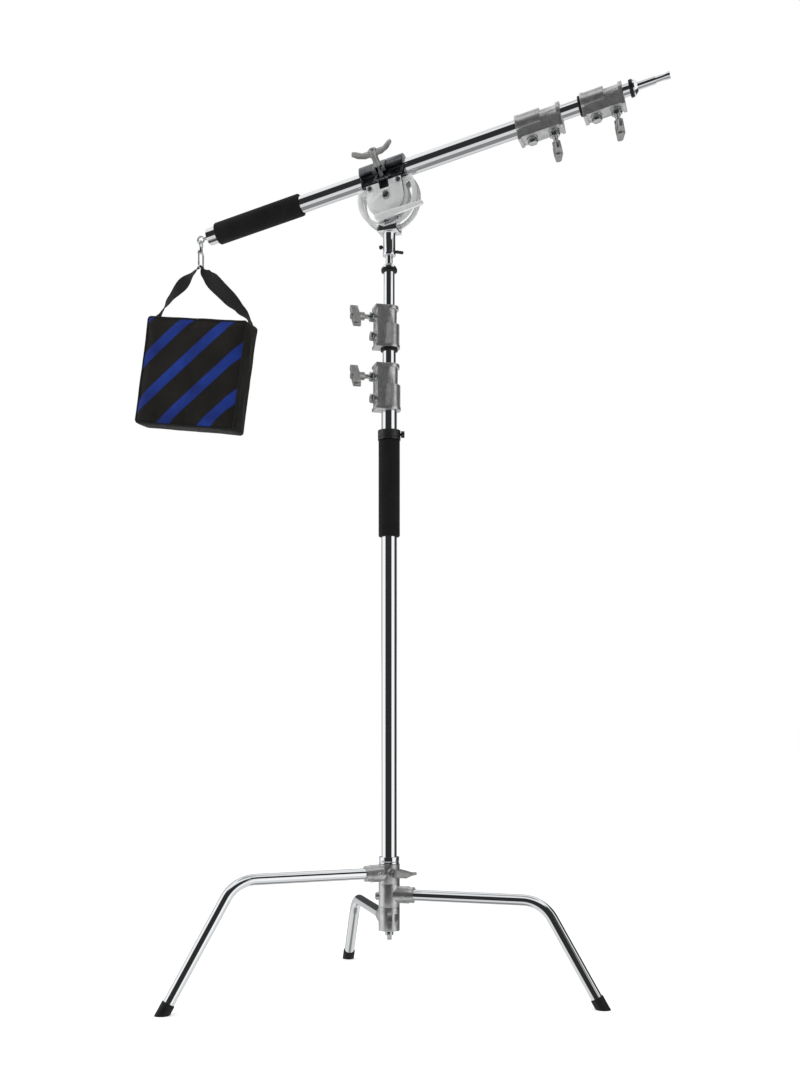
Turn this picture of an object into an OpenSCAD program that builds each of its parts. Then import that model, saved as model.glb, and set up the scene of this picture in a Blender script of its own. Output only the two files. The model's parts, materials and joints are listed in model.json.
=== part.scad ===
// Boom stand on a nesting three-leg base: two telescopic risers, a tilting boom
// clamp, a three-stage boom and a sandbag that hangs from the boom's tail.
// Millimetres, +Z up. The origin is on the floor under the column's axis.

/* [Base] */
// Outer diameter of the leg tubes
leg_d = 25; // [22:1:26]
// Wall of the leg tubes
leg_wall = 1.5; // [1:0.5:3]
// Angle between the floor and the legs' sloping ends
leg_slope = 60; // [55:1:65]
// Radius of the bends in the legs
leg_bend_r = 75; // [50:5:90]
// Azimuth of the bottom leg, counted from +X
bottom_leg_az = 104; // [95:1:115]
// Azimuth of the middle leg
middle_leg_az = -18; // [-30:1:-10]
// Azimuth of the top leg
top_leg_az = 203; // [195:1:220]
// Diameter of the leg castings
hub_d = 48; // [46:1:50]

/* [Column] */
// Outer diameter of the lower column tube
column_d = 35; // [35:1:36]
// Outer diameter of the middle riser
middle_riser_d = 30; // [29:0.5:30]
// Outer diameter of the top riser
top_riser_d = 25; // [24:0.5:25]
// Wall of the column tubes
column_wall = 1.5; // [1.2:0.1:1.8]
// Height of the lower collar's foot above the floor
lower_collar_z = 1313; // [1300:1:1330]
// Height of the upper collar's foot above the floor
upper_collar_z = 1452.5; // [1450:0.5:1500]
// Diameter of the spigots at the top of the column and the tip of the boom
spigot_d = 16; // [15.8:0.1:16]

/* [Head] */
// Height of the tilt pivot above the floor
pivot_z = 1790; // [1785:1:1800]
// Azimuth of the boom, counted from +X, with the tip towards the front
boom_az = -19; // [-40:1:40]
// Tilt of the boom above the horizontal
boom_tilt = 10.6; // [0:0.1:20]
// Height of the boom's axis above the tilt pivot
boom_rise = 56; // [56:1:60]
// Length of the boom clamp
clamp_l = 104; // [100:1:110]
// Angle by which the clamp's swing bolt leans to the front
bolt_lean = 50; // [48:1:52]

/* [Boom] */
// Outer diameter of the boom's main tube
boom_d = 38; // [37.5:0.5:38]
// Outer diameter of the boom's middle tube
boom_middle_d = 32; // [31:0.5:32]
// Outer diameter of the boom's tip tube
boom_tip_d = 26; // [25:0.5:26]
// Wall of the boom tubes
boom_wall = 1.8; // [1.5:0.1:1.8]
// Distance from the pivot's foot on the boom to the tail end
boom_tail = 449; // [440:1:460]
// Diameter of the black hand grips
grip_d = 49; // [46:1:50]

/* [Sandbag] */
// Width of the sandbag
bag_w = 270; // [240:1:280]
// Thickness of the filled sandbag
bag_t = 78; // [60:1:90]
// Height of the sandbag
bag_h = 262; // [240:1:280]
// Lean of the hanging bag in its own plane
bag_lean = 8.5; // [0:0.5:10]
// Width of the webbing strap at the bag
strap_w = 25; // [20:1:30]

/* [Hidden] */
$fn = 64;

// Play of a pin or screw that turns in its hole, and of a tube that slides
turn_play = 0.05;
slide_play = 0.3;
// A bent length ends inside the straight one beside it: how far round, and how far under its surface
lap_angle = 0.8;
lap_under = 0.05;

// Base: each casting's foot and height, the height of each leg and its reach to the bend
bottom_cast_z = 145;
middle_cast_z = 198;
top_cast_z = 250.5;
bottom_cast_h = 52.5;
middle_cast_h = 52;
top_cast_h = 43.5;
bottom_leg_z = 172;
middle_leg_z = 226;
top_leg_z = 274;
nest_step = 8;
bottom_reach = 341;
middle_reach = bottom_reach + nest_step;
top_reach = middle_reach + nest_step;
socket_r = leg_d / 2 + 5.5;
socket_end = 58;
socket_floor = 26;
base_bolt_r = 8;
foot_r = leg_d / 2 + 2;
foot_l = 28;
foot_sole = 12;
lock_az = -75;
lock_z = 276;

// Column
column_r = column_d / 2;
column_bore = column_r - column_wall;
middle_r = middle_riser_d / 2;
middle_bore = middle_r - column_wall;
top_r = top_riser_d / 2;
top_bore = top_r - column_wall;
spigot_r = spigot_d / 2;
ferrule_z = 294.5;
ferrule_h = 16;
column_foot = ferrule_z + 3.5;
lower_collar_h = 102.5;
lower_step = 56;
upper_collar_h = 93.5;
upper_step = 52.5;
collar_az = 195;
pad_reach = 35;
lower_knob_at = 74;
upper_knob_at = 68.5;
riser_bolt_at = 25.5;
riser_knob_spin = 35;
washer_h = 8;
washer_r = 18;
spigot_flange_r = 16;
grip_z = 1029.5;
grip_l = 217;
ring_z = grip_z + grip_l;
ring_h = 21.5;
ring_r = 25.5;
ring_knob_z = ring_z + 13.5;
column_top = lower_collar_z + lower_step;
middle_foot_z = 440;
middle_top = upper_collar_z + upper_step;
top_foot_z = 560;
top_end = 1625;
pin_top = 1712;

// Head, in a frame whose X runs along the boom's azimuth and whose origin is the pivot
receiver_r = 14;
receiver_foot = 1662;
yoke_z = 1716.5;
yoke_w = 46;
tongue_t = 24;
plate_t = 4;
plate_gap = 0.3;
plate_in = tongue_t / 2 + plate_gap;
plate_out = plate_in + plate_t;
skirt_out = plate_out + 4.7;
cover_out = skirt_out + 3.5;
plate_r = 70;
slot_r = 54;
slot_w = 11;
slot_rise = 12.5;
cover_r = 41;
cover_top = 31.5;
pivot_r = 6;
lock_r = 4.5;
lock_angle = -105;
lever_l = 106;
lever_rise = 11;
screw_x = 34;
screw_z = 24;
screw_r = 3;
knob_z = 1683.5 - pivot_z;
lever_z = 1669 - pivot_z;

// Clamp, in the boom's frame: X along the boom, Z up, origin on the boom's axis
boom_r = boom_d / 2;
boom_bore = boom_r - boom_wall;
boom_middle_r = boom_middle_d / 2;
boom_middle_bore = boom_middle_r - boom_wall + 0.2;
boom_tip_r = boom_tip_d / 2;
jaw_w = 24;
jaw_h = 24;
jaw_bore = boom_r + slide_play / 2;
hinge_z = -3;
knuckle_r = 6;
knuckle_l = 9;
knuckle_x = [-38, 29];
swing_y = -24;
swing_z = -16;
swing_r = 5;
wing_at = 58;

// Boom, from tail to tip along X
boom_grip_x = -425;
grip_inset = 218;
eye_x = -boom_tail - 22;
eye_r = 8;
eye_wire = 2.5;
collar_1_x = 310;
collar_1_h = 98;
collar_1_step = 54;
collar_2_x = 453;
collar_2_h = 89;
collar_2_step = 50;
middle_tail_x = -400;
tip_tail_x = -380;
tip_end_x = 556;
spigot_l = 47;
knob_1_at = 76;
bolt_1_at = 28;
knob_2_at = 68;
bolt_2_at = 26;
boom_knob_spin = 80;

// Snap hook, below the centre of the tail eye
link_drop = 10.5;
link_r = 7.5;
link_wire = 2.2;
hook_wire = 2.5;
hook_half = 11;
hook_corner = 5;
hook_top = 30;
hook_floor = 66;
gate_top = 34;
gate_foot = 53;

// Sandbag, from the hook's floor
strap_t = 2.2;
strap_inner = hook_wire + 0.4;
strap_drop = 123;
bag_off = 24;
strap_left = -98;
strap_right = 147;
bag_round = 12;

// Frames
module on_head() {
    translate([0, 0, pivot_z]) rotate([0, 0, boom_az]) children();
}

module on_boom() {
    on_head() rotate([0, -boom_tilt, 0]) translate([0, 0, boom_rise]) children();
}

module on_eye() {
    eye_local = [eye_x * cos(boom_tilt) - boom_rise * sin(boom_tilt), 0,
        eye_x * sin(boom_tilt) + boom_rise * cos(boom_tilt)];
    on_head() translate(eye_local) children();
}

module on_bag() {
    on_eye() translate([0, 0, -hook_floor]) rotate([0, bag_lean, 0]) children();
}

// Turns Z into +X, and keeps Y
module along_x() {
    rotate([0, 90, 0]) children();
}

// Turns Z into -Y, towards the front, and keeps X
module to_front() {
    rotate([90, 0, 0]) children();
}

// Common shapes
module tube(r, bore, h) {
    difference() {
        cylinder(r = r, h = h);
        translate([0, 0, -1]) cylinder(r = bore, h = h + 2);
    }
}

module hexagon(r, h) {
    cylinder(r = r, h = h, $fn = 6);
}

module torus(r, wire) {
    rotate_extrude($fn = 48) translate([r, 0]) circle(r = wire, $fn = 24);
}

// A bar with round ends, thicker in its middle, as seen along its turning axis
module wing_shape(length, middle, end) {
    polygon([[-length / 2 + end / 2, -end / 2], [0, -middle / 2], [length / 2 - end / 2, -end / 2],
        [length / 2 - end / 2, end / 2], [0, middle / 2], [-length / 2 + end / 2, end / 2]]);
    for (side = [-1, 1])
        translate([side * (length - end) / 2, 0]) circle(r = end / 2, $fn = 24);
}

// Legs: drawn along +X from the column's axis
function bend_run() = leg_bend_r * tan(leg_slope / 2);
function bend_end(reach, z) = [reach - bend_run() + leg_bend_r * sin(leg_slope), 0,
    z - leg_bend_r * (1 - cos(leg_slope))];

module leg_tube(az, reach, z) {
    r = leg_d / 2;
    run_end = reach - bend_run();
    bend = bend_end(reach, z);
    color("silver") rotate([0, 0, az]) {
        translate([socket_floor, 0, z]) along_x() tube(r, r - leg_wall, run_end - socket_floor);
        translate([run_end, 0, z - leg_bend_r]) to_front() rotate([0, 0, 90 - leg_slope - lap_angle])
            rotate_extrude(angle = leg_slope + 2 * lap_angle, $fn = 96)
            translate([leg_bend_r, 0]) difference() {
                circle(r = r - lap_under);
                circle(r = r - leg_wall + lap_under);
            }
        translate(bend) rotate([0, 90 + leg_slope, 0])
            tube(r, r - leg_wall, (bend[2] - foot_sole) / sin(leg_slope));
    }
}

module foot(az, reach, z) {
    bend = bend_end(reach, z);
    slope_l = bend[2] / sin(leg_slope);
    tube_l = (bend[2] - foot_sole) / sin(leg_slope);
    color("#1a1a1a") rotate([0, 0, az]) difference() {
        translate(bend) rotate([0, 90 + leg_slope, 0]) difference() {
            translate([0, 0, slope_l - foot_l]) cylinder(r = foot_r, h = foot_l + foot_r);
            cylinder(r = leg_d / 2, h = tube_l);
        }
        translate([reach, -50, -50]) cube([300, 100, 50]);
    }
}

module leg_casting(az, foot_z, h, leg_z) {
    color("#a8a9a8") difference() {
        union() {
            rotate([0, 0, az - 90]) translate([0, 0, foot_z]) cylinder(r = hub_d / 2, h = h);
            rotate([0, 0, az]) {
                translate([12, 0, leg_z]) along_x() cylinder(r = socket_r, h = socket_end - 12);
                translate([10, 0, leg_z]) along_x() cylinder(r = socket_r + 1.5, h = socket_end - 22);
            }
            children();
        }
        translate([0, 0, foot_z - 1]) cylinder(r = base_bolt_r + turn_play, h = h + 2);
        rotate([0, 0, az]) translate([socket_floor, 0, leg_z]) along_x()
            cylinder(r = leg_d / 2, h = socket_end);
    }
}

module bottom_leg_casting() {
    window_az = -68;
    difference() {
        leg_casting(bottom_leg_az, bottom_cast_z, bottom_cast_h, bottom_leg_z);
        for (side = [-1, 1])
            rotate([0, 0, window_az + side * 20]) translate([17, 0, bottom_cast_z + 27]) {
                along_x() cylinder(r = 5.5, h = 12);
                translate([0, -5.5, 0]) cube([12, 11, 12]);
            }
    }
}

module middle_leg_casting() {
    leg_casting(middle_leg_az, middle_cast_z, middle_cast_h, middle_leg_z)
        translate([-15, 0, middle_cast_z + 24]) rotate([0, 0, 180]) along_x() cylinder(r = 9, h = 15);
}

module top_leg_casting() {
    difference() {
        leg_casting(top_leg_az, top_cast_z, top_cast_h, top_leg_z)
            rotate([0, 0, lock_az]) translate([0, 0, lock_z]) along_x() cylinder(r = 11, h = 36);
        rotate([0, 0, lock_az]) translate([15, 0, lock_z]) along_x() cylinder(r = 4 + turn_play, h = 30);
    }
}

module bottom_leg_tube() { leg_tube(bottom_leg_az, bottom_reach, bottom_leg_z); }
module middle_leg_tube() { leg_tube(middle_leg_az, middle_reach, middle_leg_z); }
module top_leg_tube() { leg_tube(top_leg_az, top_reach, top_leg_z); }
module bottom_foot() { foot(bottom_leg_az, bottom_reach, bottom_leg_z); }
module middle_foot() { foot(middle_leg_az, middle_reach, middle_leg_z); }
module top_foot() { foot(top_leg_az, top_reach, top_leg_z); }

// A screw with a flat one-sided wing, which locks the castings on the column
module leg_lock_handle() {
    lever_in = 43;
    lever_t = 7;
    color("#8f908f") rotate([0, 0, lock_az]) translate([0, 0, lock_z]) along_x() {
        translate([0, 0, 16]) cylinder(r = 4, h = 30);
        translate([0, 0, 39]) cylinder(r = 8, h = 13);
        translate([0, 0, lever_in]) linear_extrude(lever_t)
            polygon([[-6, -2], [-11, 14], [-8, 26], [-3, 40], [-3, 50], [3, 50], [4, 40], [10, 26],
                [9, 12], [6, -2]]);
    }
}

module base_bolt() {
    flange_r = 9.75;
    nut_r = 5.5;
    nut_z = 123.5;
    color("#b9bab8") {
        translate([0, 0, bottom_cast_z]) cylinder(r = base_bolt_r, h = 175);
        translate([0, 0, bottom_cast_z - 10.5]) cylinder(r = flange_r, h = 10.5);
        translate([0, 0, nut_z]) cylinder(r = nut_r, h = bottom_cast_z - 10.5 - nut_z);
    }
}

// Column
module column_ferrule() {
    color("#c9c9c7") difference() {
        translate([0, 0, ferrule_z]) cylinder(r = 23, h = ferrule_h);
        translate([0, 0, column_foot]) cylinder(r = column_r, h = ferrule_h);
        translate([0, 0, ferrule_z - 1]) cylinder(r = base_bolt_r, h = 10);
        translate([0, 0, ferrule_z + 4]) tube(25, 22, 1.5);
    }
}

module lower_column_tube() {
    color("silver") translate([0, 0, column_foot]) tube(column_r, column_bore, column_top - column_foot);
}

module column_grip() {
    color("#161616") translate([0, 0, grip_z]) tube(grip_d / 2 - 0.5, column_r, grip_l);
}

module storage_ring() {
    color("#141414") difference() {
        translate([0, 0, ring_z]) tube(ring_r, column_r, ring_h);
        translate([0, 0, ring_z + 5]) tube(ring_r + 1, ring_r - 1.5, 2);
        translate([0, 0, ring_knob_z]) along_x() cylinder(r = 3 + turn_play, h = 40);
    }
}

module storage_ring_knob() {
    color("#101010") translate([0, 0, ring_knob_z]) along_x() {
        translate([0, 0, column_r + slide_play]) cylinder(r = 3, h = 12);
        translate([0, 0, ring_r + 1]) cylinder(r = 7.5, h = 8);
    }
}

// Collar: its pad faces +X, its foot is at Z = 0. It grips a tube of radius outer in its
// lower part, and the inner tube slides through its upper part
module collar(h, step, outer, inner, grip_r, neck_r, knob_at, bolt_at) {
    pad_w = 0.84 * grip_r;
    rim = 7;
    color("#b3b4b2") difference() {
        union() {
            cylinder(r = grip_r, h = step);
            cylinder(r = neck_r, h = h);
            cylinder(r = grip_r + 1, h = rim);
            translate([0, 0, h - rim - 1]) cylinder(r = neck_r + 4, h = rim + 1);
            translate([0, -pad_w, 0]) cube([pad_reach - 3, 2 * pad_w, h]);
            for (z = [0, h - rim])
                translate([0, -pad_w, z]) cube([pad_reach, 2 * pad_w, rim]);
            for (z = [knob_at, bolt_at])
                translate([0, 0, z]) along_x() cylinder(r = 12.5, h = pad_reach);
        }
        translate([0, 0, -1]) cylinder(r = outer, h = step + 1);
        translate([0, 0, -1]) cylinder(r = inner + slide_play, h = h + 2);
        translate([0, 0, knob_at]) along_x() cylinder(r = 5 + turn_play, h = 60);
        translate([0, 0, bolt_at]) along_x() cylinder(r = 4, h = 60);
    }
}

// The collar's threaded insert, which the knob's screw turns in, and its hexagon bolt
module collar_fasteners(outer, knob_at, bolt_at) {
    color("#c3c4c2") {
        translate([0, 0, knob_at]) along_x() difference() {
            translate([0, 0, pad_reach]) hexagon(11.5, 10);
            cylinder(r = 5 + turn_play, h = 60);
        }
        translate([0, 0, bolt_at]) along_x() {
            translate([0, 0, outer]) cylinder(r = 4, h = pad_reach - outer);
            translate([0, 0, pad_reach]) hexagon(11, 9);
        }
    }
}

// T-knob on a screw: its axis is +X, its bar turned by spin about that axis
module collar_knob(inner, knob_at, spin) {
    color("#9c9d9b") translate([0, 0, knob_at]) along_x() {
        translate([0, 0, inner + slide_play]) cylinder(r = 5, h = 60 - inner);
        translate([0, 0, 58]) cylinder(r = 9, h = 14);
        rotate([0, 0, spin]) translate([0, 0, 70]) linear_extrude(16) wing_shape(66, 20, 13);
        translate([0, 0, 80]) cylinder(r = 8, h = 9);
    }
}

module on_lower_collar() {
    translate([0, 0, lower_collar_z]) rotate([0, 0, collar_az]) children();
}

module on_upper_collar() {
    translate([0, 0, upper_collar_z]) rotate([0, 0, collar_az]) children();
}

module lower_collar() {
    on_lower_collar() collar(lower_collar_h, lower_step, column_r, middle_r, 25.2, 19.4,
        lower_knob_at, riser_bolt_at);
}

module lower_collar_fasteners() {
    on_lower_collar() collar_fasteners(column_r, lower_knob_at, riser_bolt_at);
}

module lower_collar_knob() { on_lower_collar() collar_knob(middle_r, lower_knob_at, riser_knob_spin); }

module middle_riser_tube() {
    color("silver") translate([0, 0, middle_foot_z]) tube(middle_r, middle_bore, middle_top - middle_foot_z);
}

// A guide bush at a riser's foot: a flange that runs in the tube around it
module guide_bush(flange, plug, hole) {
    color("#22262b") difference() {
        union() {
            translate([0, 0, -8]) cylinder(r = flange, h = 8);
            cylinder(r = plug, h = 22);
        }
        translate([0, 0, -9]) cylinder(r = hole, h = 40);
    }
}

module middle_riser_bush() {
    translate([0, 0, middle_foot_z]) guide_bush(column_bore - slide_play, middle_bore, 10);
}

module upper_collar() {
    on_upper_collar() collar(upper_collar_h, upper_step, middle_r, top_r, 23.2, 17.2,
        upper_knob_at, riser_bolt_at);
}

module upper_collar_fasteners() {
    on_upper_collar() collar_fasteners(middle_r, upper_knob_at, riser_bolt_at);
}

module upper_collar_knob() { on_upper_collar() collar_knob(top_r, upper_knob_at, riser_knob_spin); }

module upper_collar_bumper() {
    bumper_h = 6;
    color("#121212") translate([0, 0, upper_collar_z - bumper_h]) tube(19.5, middle_r, bumper_h);
}

module top_riser_tube() {
    color("silver") translate([0, 0, top_foot_z]) tube(top_r, top_bore, top_end - top_foot_z);
}

module top_riser_bush() {
    translate([0, 0, top_foot_z]) guide_bush(middle_bore - slide_play, top_bore, 7);
}

// A spigot turned in one piece with its conical flange, from the tube's end at Z = 0
module spigot(bore, flange_h, top) {
    plug_l = 40;
    rim = 3;
    translate([0, 0, -plug_l]) cylinder(r = bore, h = plug_l);
    cylinder(r = spigot_r, h = top);
    translate([0, 0, washer_h]) cylinder(r = spigot_flange_r, h = rim);
    translate([0, 0, washer_h + rim])
        cylinder(r1 = spigot_flange_r, r2 = spigot_r + 2, h = flange_h - rim);
}

module baby_pin() {
    color("#d2d2d0") translate([0, 0, top_end]) spigot(top_bore, 10, pin_top - top_end);
}

module pin_washer() {
    color("#121212") translate([0, 0, top_end]) tube(washer_r, spigot_r, washer_h);
}

// Head
module receiver() {
    base_z = yoke_z - pivot_z;
    lip_h = 15.5;
    tongue_top = 20;
    color("#bfc0be") on_head() difference() {
        union() {
            translate([0, 0, receiver_foot - pivot_z]) cylinder(r = receiver_r, h = yoke_z - receiver_foot);
            translate([0, 0, receiver_foot - pivot_z]) cylinder(r = receiver_r + 0.8, h = 5);
            translate([0, 0, base_z - 6]) cylinder(r1 = receiver_r, r2 = 20, h = 6);
            translate([-yoke_w / 2, -20, base_z - 3]) cube([yoke_w, 40, 5.5]);
            for (side = [-1, 1])
                translate([-yoke_w / 2, side * 18.3 - 1.7, base_z - 3]) cube([yoke_w, 3.4, lip_h]);
            translate([0, tongue_t / 2, 0]) to_front() linear_extrude(tongue_t)
                polygon([[-23, base_z], [23, base_z], [23, -40], [tongue_top, -8], [tongue_top, 0],
                    [-tongue_top, 0], [-tongue_top, -8], [-23, -40]]);
            translate([0, tongue_t / 2, 0]) to_front() cylinder(r = tongue_top, h = tongue_t);
        }
        translate([0, 0, receiver_foot - pivot_z - 1])
            cylinder(r = spigot_r + turn_play, h = pin_top - receiver_foot + 3);
        translate([0, 30, 0]) to_front() cylinder(r = pivot_r + turn_play, h = 60);
        translate([slot_r * cos(lock_angle), 30, slot_r * sin(lock_angle)]) to_front()
            cylinder(r = lock_r + turn_play, h = 60);
        translate([0, 0, knob_z]) rotate([0, 0, 180]) along_x() cylinder(r = 2.5 + turn_play, h = 30);
        translate([0, 0, lever_z]) along_x() cylinder(r = 3 + turn_play, h = 30);
    }
}

module receiver_knob() {
    color("#141414") on_head() translate([0, 0, knob_z]) rotate([0, 0, 180]) along_x() {
        translate([0, 0, spigot_r + 0.2]) cylinder(r = 2.5, h = 10);
        translate([0, 0, 17]) cylinder(r = 4.5, h = 6);
    }
}

module receiver_lever() {
    lever_in = 16;
    lever_out = 33;
    color("#141414") on_head() translate([0, 0, lever_z]) along_x() {
        translate([0, 0, spigot_r + 0.2]) cylinder(r = 3, h = 12);
        translate([0, 0, lever_in]) rotate([0, 14, 0]) cylinder(r = 3.4, h = lever_out - lever_in);
    }
}

// The two D-shaped plates with their arc slots, beside the tongue
module tilt_plate_shape() {
    flat = 30;
    ends = [180 - slot_rise, 360 + slot_rise];
    difference() {
        circle(r = plate_r, $fn = 120);
        translate([-plate_r - 1, flat]) square([2 * plate_r + 2, plate_r]);
        circle(r = pivot_r);
        difference() {
            circle(r = slot_r + slot_w / 2, $fn = 120);
            circle(r = slot_r - slot_w / 2, $fn = 120);
            polygon([[0, 0], 90 * [cos(slot_rise), sin(slot_rise)], [90, 90], [-90, 90],
                90 * [-cos(slot_rise), sin(slot_rise)]]);
        }
        for (a = ends) rotate(a) translate([slot_r, 0]) circle(r = slot_w / 2 + 0.3);
        for (side = [-1, 1]) translate([side * screw_x, screw_z]) circle(r = screw_r);
    }
}

module on_tilt() {
    on_head() rotate([0, -boom_tilt, 0]) children();
}

module both_sides(out, t) {
    for (y = [-out + t, out]) translate([0, y, 0]) to_front() linear_extrude(t) children();
}

module tilt_plates() {
    color("#cfcfcd") on_tilt() both_sides(plate_out, plate_t) tilt_plate_shape();
}

// The outer plates that carry the pivot bolt, notched to show the jaw's pocket
module cover_plates() {
    color("#d8d8d6") on_tilt() both_sides(cover_out, cover_out - skirt_out) difference() {
        union() {
            circle(r = cover_r, $fn = 96);
            translate([-cover_r, 0]) square([2 * cover_r, cover_top]);
        }
        translate([-cover_r - 1, cover_top]) square([2 * cover_r + 2, cover_r]);
        translate([-11, 16]) square([22, 40]);
        circle(r = pivot_r);
        for (side = [-1, 1]) translate([side * screw_x, screw_z]) circle(r = screw_r);
    }
}

module plate_screws() {
    color("#c8c9c6") on_tilt() for (side = [-1, 1], x = [-screw_x, screw_x])
        translate([x, 0, screw_z]) rotate([side * 90, 0, 0]) {
            translate([0, 0, plate_in]) cylinder(r = screw_r, h = cover_out - plate_in);
            translate([0, 0, cover_out]) cylinder(r = 6, h = 4);
        }
}

module pivot_bolt() {
    color("#c0c1bf") on_tilt() translate([0, cover_out, 0]) to_front() {
        cylinder(r = pivot_r, h = 2 * cover_out);
        translate([0, 0, 2 * cover_out]) hexagon(9.5, 6);
        translate([0, 0, -7]) hexagon(9.5, 7);
    }
}

// The bolt through the arc slots, with its lever in front and its nut behind
module tilt_lock_lever() {
    boss_out = 38;
    lever_in = 29;
    washer = plate_out + 0.2;
    color("#c6c7c5") on_head() translate([slot_r * cos(lock_angle), 0, slot_r * sin(lock_angle)]) {
        translate([0, 23, 0]) to_front() cylinder(r = lock_r, h = 23 + boss_out);
        translate([0, -washer, 0]) to_front() cylinder(r = 8, h = boss_out - washer);
        translate([0, 24, 0]) to_front() hexagon(8, 24 - washer);
        translate([0, -lever_in, 0]) to_front() rotate([0, 0, lever_rise]) linear_extrude(8) {
            polygon([[0, -8], [lever_l - 5, -4.5], [lever_l - 5, 4.5], [0, 8]]);
            translate([lever_l - 5, 0]) circle(r = 4.5);
        }
    }
}

// Boom clamp
module clamp_lower_jaw() {
    pocket_d = 5;
    skirt_foot = -70;
    color("#55575a") on_boom() difference() {
        union() {
            translate([-clamp_l / 2, -jaw_w, -jaw_h]) cube([clamp_l, 2 * jaw_w, jaw_h - 1]);
            for (y = [plate_out, -skirt_out])
                translate([-36, y, skirt_foot]) cube([72, skirt_out - plate_out, -skirt_foot - 20]);
            for (y = [plate_out, -skirt_out])
                translate([-cover_r, y, -boom_rise]) cube([2 * cover_r, skirt_out - plate_out, 34]);
            for (x = [-14, 7])
                translate([x, swing_y, swing_z]) along_x() cylinder(r = 7, h = 7);
            for (x = [-47, 43]) translate([x, jaw_w, hinge_z]) along_x() cylinder(r = knuckle_r, h = 4);
        }
        translate([-clamp_l, 0, 0]) along_x() cylinder(r = jaw_bore, h = 2 * clamp_l);
        for (x = [-44, 18])
            translate([x, -jaw_w - 1, -20]) cube([26, pocket_d + 1, 15]);
        for (x = [-44, -13, 18])
            translate([x, jaw_w - pocket_d, -21]) cube([26, pocket_d + 1, 10]);
        for (x = knuckle_x)
            translate([x - 0.5, jaw_w, hinge_z]) along_x() cylinder(r = knuckle_r + 0.5, h = knuckle_l + 1);
        translate([-7, swing_y, swing_z]) along_x() cylinder(r = 9, h = 14);
        translate([-7, -jaw_w - 12, -jaw_h - 2]) cube([14, 14, 26]);
        translate([-30, swing_y, swing_z]) along_x() cylinder(r = 3, h = 60);
        translate([-60, jaw_w, hinge_z]) along_x() cylinder(r = 2.5, h = 120);
        translate([0, 40, -boom_rise]) to_front() cylinder(r = pivot_r, h = 80);
        for (x = [-screw_x, screw_x])
            translate([x, 40, screw_z - boom_rise]) to_front() cylinder(r = screw_r, h = 80);
    }
}

// In the clamp's frame, the swing bolt's pin is the origin and the bolt runs along Z
module on_swing() {
    on_boom() translate([0, swing_y, swing_z]) rotate([bolt_lean, 0, 0]) children();
}

// An arched shell in two lobes, hinged behind, with a forked lug in front for the swing bolt
module clamp_upper_jaw() {
    lobe = 14;
    parting = 0.5;
    lug_out = 27;
    color("#4b4d50") difference() {
        union() {
            on_boom() difference() {
                union() {
                    translate([-clamp_l / 2, 0, 0]) along_x() cylinder(r = 26, h = clamp_l);
                    for (x = [-clamp_l / 2, lobe]) translate([x, 0, 4]) along_x()
                        cylinder(r = 28, h = clamp_l / 2 - lobe);
                }
                translate([-clamp_l, -60, parting - 60]) cube([2 * clamp_l, 120, 60]);
            }
            on_boom() for (x = knuckle_x) translate([x, jaw_w, hinge_z]) along_x()
                cylinder(r = knuckle_r, h = knuckle_l);
            on_swing() translate([-15, -9, 17]) cube([30, 34, lug_out - 17]);
            on_swing() translate([-15, 13, 10]) cube([30, 12, lug_out - 10]);
        }
        on_boom() translate([-clamp_l, 0, 0]) along_x() cylinder(r = jaw_bore, h = 2 * clamp_l);
        on_swing() translate([-6.5, -10, 0]) cube([13, 16.5, 60]);
        on_boom() translate([-60, jaw_w, hinge_z]) along_x() cylinder(r = 2.5, h = 120);
        on_boom() for (x = [-47, 43]) translate([x - 0.5, jaw_w, hinge_z]) along_x()
            cylinder(r = knuckle_r + 0.5, h = 5);
    }
}

module clamp_hinge_pin() {
    color("#c8c9c6") on_boom() translate([-52, jaw_w, hinge_z]) along_x() cylinder(r = 2.5, h = 104);
}

module clamp_swing_bolt() {
    eye_l = 11;
    color("#6b6d70") on_swing() {
        translate([-eye_l / 2, 0, 0]) along_x() cylinder(r = 7, h = eye_l);
        translate([-20, 0, 0]) along_x() cylinder(r = 3 - turn_play, h = 40);
        cylinder(r = swing_r, h = wing_at + 10);
    }
}

module clamp_wing_nut() {
    neck_in = 29;
    color("#6f7275") on_swing() difference() {
        union() {
            translate([0, 0, neck_in]) cylinder(r = 8.5, h = 3);
            translate([0, 0, neck_in]) cylinder(r = 7.5, h = wing_at - neck_in);
            translate([0, 0, wing_at - 8]) cylinder(r = 9.5, h = 16);
            for (side = [-1, 1])
                mirror([side < 0 ? 1 : 0, 0, 0]) translate([0, 5, wing_at]) to_front() linear_extrude(10)
                    polygon([[6, -6], [20, -6], [36, 0], [47, 9], [45, 15], [38, 13], [24, 5], [6, 5]]);
        }
        cylinder(r = swing_r + turn_play, h = 100);
    }
}

// Boom: drawn along X in the boom's frame
module boom_main_tube() {
    color("silver") on_boom() translate([-boom_tail, 0, 0]) along_x()
        tube(boom_r, boom_bore, boom_tail + collar_1_x + collar_1_step);
}

module boom_grip() {
    color("#161616") on_boom() translate([boom_grip_x, 0, 0]) along_x()
        tube(grip_d / 2 + 0.5, boom_r, grip_inset);
}

module boom_tail_plug() {
    plug_l = 20;
    color("#cfcfcd") on_boom() {
        translate([-boom_tail, 0, 0]) along_x() cylinder(r = boom_bore, h = plug_l);
        translate([eye_x + eye_r, 0, 0]) along_x() cylinder(r = 4, h = 16);
        translate([-boom_tail - 4, 0, 0]) along_x() cylinder(r = 8, h = 4);
        translate([eye_x, 0, 0]) to_front() torus(eye_r, eye_wire);
    }
}

// A boom collar's pad faces down
module on_boom_collar(x) {
    on_boom() translate([x, 0, 0]) along_x() children();
}

module boom_collar() {
    on_boom_collar(collar_1_x) collar(collar_1_h, collar_1_step, boom_r, boom_middle_r, 25.5, 20.2,
        knob_1_at, bolt_1_at);
}

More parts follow.
